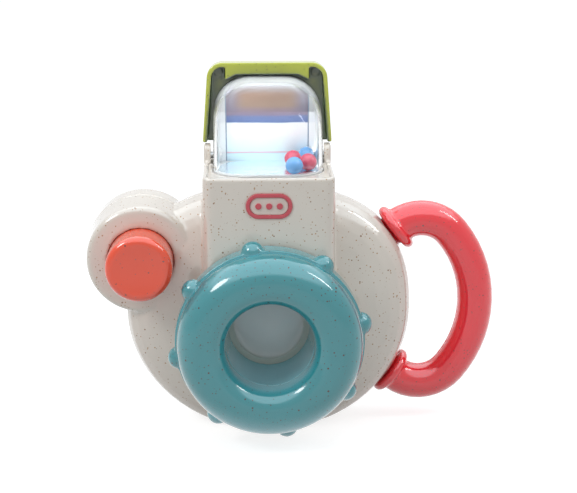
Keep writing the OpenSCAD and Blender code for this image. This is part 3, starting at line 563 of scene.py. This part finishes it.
class TOYCAM_OT_case(bpy.types.Operator):
    """Rounds the two case shells, and sets the floor and the ledge of the flash well"""

    bl_idname = "toycam.case"
    bl_label = "Case shells"

    def execute(self, context):
        tones = context.scene.toy_camera_colours
        edges = context.scene.toy_camera_edges
        # The case's creases take a little painted shade
        cream = fibre_plastic(
            "cream_fibre_plastic", tones.cream, tones.tan_speck, shade(140, 102, 70), small=1.2, shadow=0.2
        )
        for node, name in (("front_shell", "case_front"), ("rear_cover", "case_rear")):
            piece = cad_copy(node, name)
            soften(piece, edges.case_grain, 2)
            settle(piece, [node], "case", cream, angle=60)
        floor = cad_copy("well_floor", "flash_well_floor")
        settle(floor, ["well_floor"], "case", cream)
        self.well_ledge(cream, edges.ledge_grain)
        return {"FINISHED"}

    def well_ledge(self, cream, grain):
        """Ledge just under the rim of the flash well, cut out to the path of the round window."""
        low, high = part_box("well_floor")
        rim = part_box("front_shell")[1].z
        thick, below, rear, grip = 1.7 * MM, 0.7 * MM, 6.5 * MM, 0.5 * MM
        ledge = make_box(
            "well_ledge",
            (0, (low.y - grip + rear) / 2, rim - below - thick / 2),
            (high.x - low.x + 2 * grip, rear - low.y + grip, thick)
        )
        cut(ledge, self.window_path())
        soften(ledge, grain, 3)
        settle(ledge, [], "case", cream, angle=60)

    def window_path(self):
        """The space that the window sweeps as it folds, with a small gap round it."""
        low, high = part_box("flash_window")
        hinge = middle("hinge_pins")
        free, round_edge = 0.35 * MM, 16.7 * MM
        path = make(
            bpy.ops.mesh.primitive_cylinder_add, "window_path", vertices=160,
            radius=hinge.y - low.y + free, depth=high.x - low.x + 2 * free,
            location=hinge, rotation=(0, math.pi / 2, 0)
        )
        bpy.ops.object.mode_set(mode="EDIT")
        bpy.ops.mesh.select_mode(type="FACE")
        bpy.ops.mesh.select_all(action="DESELECT")
        bpy.ops.mesh.select_face_by_sides(number=4, type="GREATER")
        bpy.ops.mesh.region_to_loop()
        bpy.ops.mesh.bevel(offset=round_edge, segments=16, affect="EDGES")
        bpy.ops.object.mode_set(mode="OBJECT")
        return path


class TOYCAM_OT_badge(bpy.types.Operator):
    """Rounds the badge: its plate, its border and three plain pips"""

    bl_idname = "toycam.badge"
    bl_label = "Badge"

    def execute(self, context):
        tones = context.scene.toy_camera_colours
        grain = context.scene.toy_camera_edges.badge_grain
        red = plain_plastic("badge_red_plastic", tones.red, rough=0.22)
        beige = plain_plastic("badge_beige_plastic", tones.beige, rough=0.3)
        for node, name, slot, finish in (
            ("badge_plate", "badge_face", "beige", beige),
            ("badge_rim", "badge_border", "red", red),
            ("badge_pips", "badge_dots", "red", red),
        ):
            piece = cad_copy(node, name)
            soften(piece, grain, 4)
            settle(piece, [node], "case", finish, angle=60)
        return {"FINISHED"}


class TOYCAM_OT_button(bpy.types.Operator):
    """Models the push button with its rounded edge and hollow face"""

    bl_idname = "toycam.button"
    bl_label = "Push button"

    def execute(self, context):
        tones = context.scene.toy_camera_colours
        edges = context.scene.toy_camera_edges
        piece = cad_copy("button_cap", "push_button")
        face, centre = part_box("button_cap")[0].y, middle("button_cap")
        ball = (edges.button_flat**2 + edges.button_dish**2) / (2 * edges.button_dish)
        cut(piece, make(
            bpy.ops.mesh.primitive_uv_sphere_add, "dish_ball", segments=128, ring_count=256, radius=ball,
            location=(centre.x, face + edges.button_dish - ball, centre.z), rotation=(math.pi / 2, 0, 0)
        ))
        soften(piece, edges.button_grain, 5)
        orange = fibre_plastic(
            "orange_fibre_plastic", tones.orange, shade(170, 66, 50), tones.dark_speck,
            small=0.9, large=0.95
        )
        settle(piece, ["button_cap"], "button", orange, angle=60)
        return {"FINISHED"}


class TOYCAM_OT_ring(bpy.types.Operator):
    """Rounds the two halves of the turning ring and its nubs"""

    bl_idname = "toycam.ring"
    bl_label = "Turning ring"

    def execute(self, context):
        tones = context.scene.toy_camera_colours
        grain = context.scene.toy_camera_edges.ring_grain
        # The ring's hollows, its throat most of all, are painted a pale teal: painted light where little
        # light reaches
        teal = fibre_plastic(
            "teal_fibre_plastic", tones.teal, shade(56, 84, 84), tones.dark_speck, small=1.15, large=1.2,
            reach=45 * MM, shadow=0.9, onset=0.75, painted_hollow_tone=shade(150, 206, 216)
        )
        for node, name in (("lens_ring_front", "ring_front"), ("lens_ring_rear", "ring_rear")):
            piece = cad_copy(node, name)
            soften(piece, grain, 2)
            settle(piece, [node], "lens", teal, angle=60)
        return {"FINISHED"}


class TOYCAM_OT_optics(bpy.types.Operator):
    """Finishes the faceted lens, the eyepiece and the tube between them"""

    bl_idname = "toycam.optics"
    bl_label = "Viewfinder"

    def execute(self, context):
        low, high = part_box("prism_lens")
        smoke = lens_plastic("smoky_lens_plastic", middle("prism_lens"), (high.x - low.x) / 2)
        eye = clear_plastic("eyepiece_plastic", (0.66, 0.68, 0.7))
        for node, name, body, clear in (
            ("prism_lens", "faceted_lens", "lens", smoke),
            ("eyepiece_window", "eyepiece_disc", "case", eye),
        ):
            piece = cad_copy(node, name)
            settle(piece, [node], body, clear, angle=20)
        white = plain_plastic("plain_white_plastic", shade(226, 226, 222), rough=0.35)
        for node in ("viewfinder_tube", "lens_retainer"):
            dress(node, white)
        return {"FINISHED"}


class TOYCAM_OT_flash(bpy.types.Operator):
    """Rounds the flash lid and finishes its window, mirror and pins"""

    bl_idname = "toycam.flash"
    bl_label = "Flash"

    def execute(self, context):
        tones = context.scene.toy_camera_colours
        lid = cad_copy("flash_lid", "lid")
        soften(lid, context.scene.toy_camera_edges.lid_grain, 3)
        # The lid's pockets are painted dark olive: painted shade
        lime = fibre_plastic(
            "lime_fibre_plastic", tones.lime, shade(112, 116, 44), tones.dark_speck,
            reach=16 * MM, shadow=1, onset=0.92, painted_hollow_tone=shade(62, 76, 48)
        )
        settle(lid, ["flash_lid"], "flash", lime, angle=60)
        self.window()
        self.floor_foil()
        mirror = cad_copy("flash_mirror", "mirror_sheet")
        silver = foil_mirror("silver_foil", *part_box("flash_mirror"))
        settle(mirror, ["flash_mirror"], "flash", silver)
        dress("hinge_pins", plated_steel("plated_steel"))
        return {"FINISHED"}

    def window(self):
        """Finishes the clear window, which stands out of the tower above the ledge."""
        below_rim = 0.7 * MM
        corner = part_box("flash_window")[1]
        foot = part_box("front_shell")[1].z - below_rim
        clear = clear_plastic(
            "clear_window_plastic", (0.99, 1.0, 1.0), index=1.25, window=(corner.y, corner.z, foot)
        )
        window = cad_copy("flash_window", "window")
        settle(window, ["flash_window"], "flash", clear)

    def floor_foil(self):
        """Lays a thin silvered sheet on the floor of the window, under the beads."""
        low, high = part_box("flash_window")
        wall, side, gap, corner, thick = 1.4 * MM, 0.5 * MM, 0.35 * MM, 14.6 * MM, 0.03 * MM
        behind = 0.1 * MM
        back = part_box("flash_mirror")[0].y - behind
        front = low.y + wall + gap
        half = (high.x - low.x) / 2 - wall - side
        foil = make(
            bpy.ops.mesh.primitive_plane_add, "floor_foil", size=1,
            location=(0, (front + back) / 2, low.z + wall + thick / 2)
        )
        foil.scale = (2 * half, back - front, 1)
        apply_place(foil)
        for vertex in foil.data.vertices:
            vertex.select = vertex.co.y < (front + back) / 2
        bpy.ops.object.mode_set(mode="EDIT")
        bpy.ops.mesh.select_mode(type="VERT")
        bpy.ops.mesh.bevel(offset=corner, segments=12, affect="VERTICES")
        bpy.ops.mesh.select_all(action="SELECT")
        bpy.ops.mesh.extrude_region_move(TRANSFORM_OT_translate={"value": (0, 0, -thick)})
        bpy.ops.mesh.select_all(action="SELECT")
        bpy.ops.mesh.normals_make_consistent(inside=False)
        bpy.ops.object.mode_set(mode="OBJECT")
        foil.data.materials.append(bluish_foil("floor_silver"))
        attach(foil, "flash")


class TOYCAM_OT_beads(bpy.types.Operator):
    """Models one bead with its moulding mark and copies it to the four places"""

    bl_idname = "toycam.beads"
    bl_label = "Beads"

    def execute(self, context):
        tones = context.scene.toy_camera_colours
        blue = plain_plastic("blue_bead_plastic", tones.bead_blue, rough=0.12)
        red = plain_plastic("red_bead_plastic", tones.bead_red, rough=0.12)
        model = self.bead_model()
        for number, (node, finish, slot) in enumerate((
            ("bead_blue_front", blue, "bead_blue"),
            ("bead_red_front", red, "bead_red"),
            ("bead_red_rear", red, "bead_red"),
            ("bead_blue_rear", blue, "bead_blue"),
        ), start=1):
            pick(model)
            bpy.ops.object.duplicate()
            bead = bpy.context.view_layer.objects.active
            bead.name = bead.data.name = f"bead_{number}"
            bead.location = middle(node)
            bead.rotation_euler = (0.7 * number, 0.5 * number, 0.3)
            settle(bead, [node], BODY_OF[node], finish, angle=40)
        bpy.data.objects.remove(model)
        return {"FINISHED"}

    def bead_model(self):
        """A ball with a small flat mark at its top."""
        mark_from, mark_height = 0.985, 0.975
        low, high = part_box("bead_blue_front")
        radius = (high.x - low.x) / 2
        model = make(
            bpy.ops.mesh.primitive_uv_sphere_add, "bead_model", segments=48, ring_count=24, radius=radius
        )
        bpy.ops.object.mode_set(mode="EDIT")
        bpy.ops.mesh.select_all(action="DESELECT")
        bpy.ops.mesh.select_mode(type="VERT")
        bpy.ops.object.mode_set(mode="OBJECT")
        for vertex in model.data.vertices:
            vertex.select = vertex.co.z > mark_from * radius
        bpy.ops.object.mode_set(mode="EDIT")
        bpy.ops.transform.resize(value=(1, 1, 0), center_override=(0, 0, mark_height * radius))
        bpy.ops.object.mode_set(mode="OBJECT")
        return model


class TOYCAM_OT_handle(bpy.types.Operator):
    """Rounds the two halves of the handle and their collars"""

    bl_idname = "toycam.handle"
    bl_label = "Handle"

    def execute(self, context):
        tones = context.scene.toy_camera_colours
        grain = context.scene.toy_camera_edges.handle_grain
        coral = fibre_plastic(
            "coral_fibre_plastic", tones.coral, shade(150, 50, 52), tones.dark_speck, large=0.9
        )
        for node, name in (("handle_front", "grip_front"), ("handle_rear", "grip_rear")):
            piece = cad_copy(node, name)
            soften(piece, grain, 5)
            settle(piece, [node], "case", coral, angle=60)
        return {"FINISHED"}


class TOYCAM_OT_works(bpy.types.Operator):
    """Finishes the screws, the squeaker and the click spring"""

    bl_idname = "toycam.works"
    bl_label = "Works and screws"

    def execute(self, context):
        steel = plated_steel("plated_steel")
        vinyl = plain_plastic("soft_vinyl", shade(232, 230, 226), rough=0.45)
        for node, finish in (
            ("retainer_screws", steel), ("click_screw", steel),
            ("click_spring", vinyl), ("squeaker_reed", vinyl),
        ):
            dress(node, finish)
        self.bellows(vinyl)
        self.screws(steel)
        return {"FINISHED"}

    def bellows(self, vinyl):
        """The bellows between the button and its fixed end, given a mesh of its own."""
        piece = cad_copy("squeaker_bellows", "bellows")
        settle(piece, ["squeaker_bellows"], "case", vinyl)
        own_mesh(piece)

    def screws(self, steel):
        """Cuts a cross into the head of each case screw."""
        long, narrow, deep = 3.4 * MM, 0.8 * MM, 1.1 * MM
        screws = cad_copy("case_screws", "screws")
        bpy.ops.object.mode_set(mode="EDIT")
        bpy.ops.mesh.select_all(action="SELECT")
        bpy.ops.mesh.separate(type="LOOSE")
        bpy.ops.object.mode_set(mode="OBJECT")
        single = list(bpy.context.selected_objects)
        for screw in single:
            corners = [Vector(corner) for corner in screw.bound_box]
            low, high = corners[0], corners[6]
            head = ((low.x + high.x) / 2, high.y, (low.z + high.z) / 2)
            for size in ((long, 2 * deep, narrow), (narrow, 2 * deep, long)):
                cut(screw, make_box("blade", head, size))
        bpy.ops.object.select_all(action="DESELECT")
        for screw in single:
            screw.select_set(True)
        bpy.context.view_layer.objects.active = screws
        bpy.ops.object.join()
        settle(screws, ["case_screws"], "case", steel)


class TOYCAM_OT_stage(bpy.types.Operator):
    """Sets the floor, the light and the camera"""

    bl_idname = "toycam.stage"
    bl_label = "Stage"

    def execute(self, context):
        scene = context.scene
        light = scene.toy_camera_stage
        floor_width, floor_gap = 12, 0.2 * MM
        floor = make(
            bpy.ops.mesh.primitive_plane_add, "floor", size=floor_width,
            location=(0, 0, CAD_BOX[0][2] - floor_gap)
        )
        floor.data.materials.append(self.floor_finish())
        self.sky(scene, light)
        top = self.lamp("top_light", (0, 0, 0.95), (1, 1), light.top)
        top.visible_glossy = False
        top.data.color = light.cool
        self.lamp("window_light", (0.62, -0.12, 0.66), (0.06, 0.4), light.window)
        self.lamp("left_light", (-0.55, -0.32, 0.58), (0.25, 0.25), light.left)
        self.camera(scene)
        scene.view_settings.view_transform = "Standard"
        return {"FINISHED"}

    def seen(self, tree):
        """1 for what the camera sees straight, through clear plastic or in a gloss."""
        path = add(tree, "LightPath").outputs
        straight = combine(tree, "MAXIMUM", path["Is Camera Ray"], path["Is Transmission Ray"])
        return combine(tree, "MAXIMUM", straight, path["Is Glossy Ray"])

    def floor_finish(self):
        """Pale floor that looks white but throws back less light, and keeps the shadow."""
        material, tree, shader, _ = new_finish("pale_floor")
        tree.nodes.remove(shader)
        paper = add(tree, "BsdfDiffuse", Color=(0.45, 0.45, 0.45, 1))
        glow = add(tree, "Emission", Color=(*WHITE, 1), Strength=0.78)
        look = add(tree, "AddShader")
        tree.links.new(paper.outputs[0], look.inputs[0])
        tree.links.new(glow.outputs[0], look.inputs[1])
        show(tree, mix_shader(tree, self.seen(tree), paper.outputs[0], look.outputs[0]))
        return material

    def sky(self, scene, light):
        """Soft light from all sides, behind a white background that is bright and cool overhead."""
        world = bpy.data.worlds.new("studio")
        scene.world = world
        world.use_nodes = True
        tree = world.node_tree
        rise = axes(tree, add(tree, "TexCoord").outputs["Generated"])["Z"]
        lit, shown = tree.nodes["Background"], add(tree, "Background")
        for back, start, end, low_level, high_level, low_tint in (
            (lit, 0, 0.9, light.horizon, light.sky, light.warm),
            (shown, 0.5, 0.68, 1, light.glaze, WHITE),
        ):
            level = remap(tree, rise, start, end, low_level, high_level, EASED)
            share = remap(tree, rise, start, end, ease=EASED)
            tree.links.new(level, back.inputs["Strength"])
            tree.links.new(mix_colour(tree, share, low_tint, light.cool), back.inputs["Color"])
        whole = mix_shader(tree, self.seen(tree), lit.outputs[0], shown.outputs[0])
        tree.links.new(whole, tree.nodes["World Output"].inputs["Surface"])

    def lamp(self, name, place, size, power):
        """A soft lamp that points at the object."""
        aim = Vector((0, 0, 0.06))
        bpy.ops.object.light_add(type="AREA", location=place)
        lamp = bpy.context.view_layer.objects.active
        lamp.name = name
        lamp.rotation_euler = (aim - Vector(place)).to_track_quat("-Z", "Y").to_euler()
        lamp.data.shape = "ELLIPSE"
        lamp.data.size, lamp.data.size_y = size
        lamp.data.energy = power
        return lamp

    def camera(self, scene):
        """Sets the camera where the photograph was taken from."""
        azimuth, rise, distance = math.radians(-1.8), math.radians(14.5), 0.682
        sensor, photo_width_px, focal_px = 36, 577, 1500
        target = Vector((0.0093, 0, 0.0804))
        back = Vector((
            math.sin(azimuth) * math.cos(rise), -math.cos(azimuth) * math.cos(rise), math.sin(rise)
        ))
        bpy.ops.object.camera_add(location=target + distance * back)
        eye = bpy.context.view_layer.objects.active
        eye.rotation_euler = (-back).to_track_quat("-Z", "Y").to_euler()
        eye.data.sensor_fit = "HORIZONTAL"
        eye.data.sensor_width = sensor
        eye.data.lens = sensor * focal_px / photo_width_px
        scene.camera = eye


class TOYCAM_PT_panel(bpy.types.Panel):
    """Shows the settings and lists the steps that build the toy camera"""

    bl_idname = "TOYCAM_PT_panel"
    bl_label = "Toy Camera"
    bl_space_type = "VIEW_3D"
    bl_region_type = "UI"
    bl_category = "Toy Camera"

    def draw(self, context):
        for group in GROUPS:
            settings = getattr(context.scene, group)
            box = self.layout.box()
            for key in settings.__annotations__:
                box.prop(settings, key)
        for step in STEPS:
            self.layout.operator(step.bl_idname)


GROUPS = {
    "toy_camera_colours": ToyCameraColours,
    "toy_camera_edges": ToyCameraEdges,
    "toy_camera_stage": ToyCameraStage,
}
STEPS = (
    TOYCAM_OT_case, TOYCAM_OT_badge, TOYCAM_OT_button, TOYCAM_OT_ring, TOYCAM_OT_optics, TOYCAM_OT_flash,
    TOYCAM_OT_beads, TOYCAM_OT_handle, TOYCAM_OT_works, TOYCAM_OT_stage,
)


def register():
    for cls in (*GROUPS.values(), *STEPS, TOYCAM_PT_panel):
        bpy.utils.register_class(cls)
    for name, group in GROUPS.items():
        setattr(bpy.types.Scene, name, bpy.props.PointerProperty(type=group))


def unregister():
    for name in GROUPS:
        delattr(bpy.types.Scene, name)
    for cls in reversed((*GROUPS.values(), *STEPS, TOYCAM_PT_panel)):
        bpy.utils.unregister_class(cls)


def main():
    register()
    for step in STEPS:
        group, name = step.bl_idname.split(".")
        getattr(getattr(bpy.ops, group), name)()


if __name__ == "__main__":
    main()
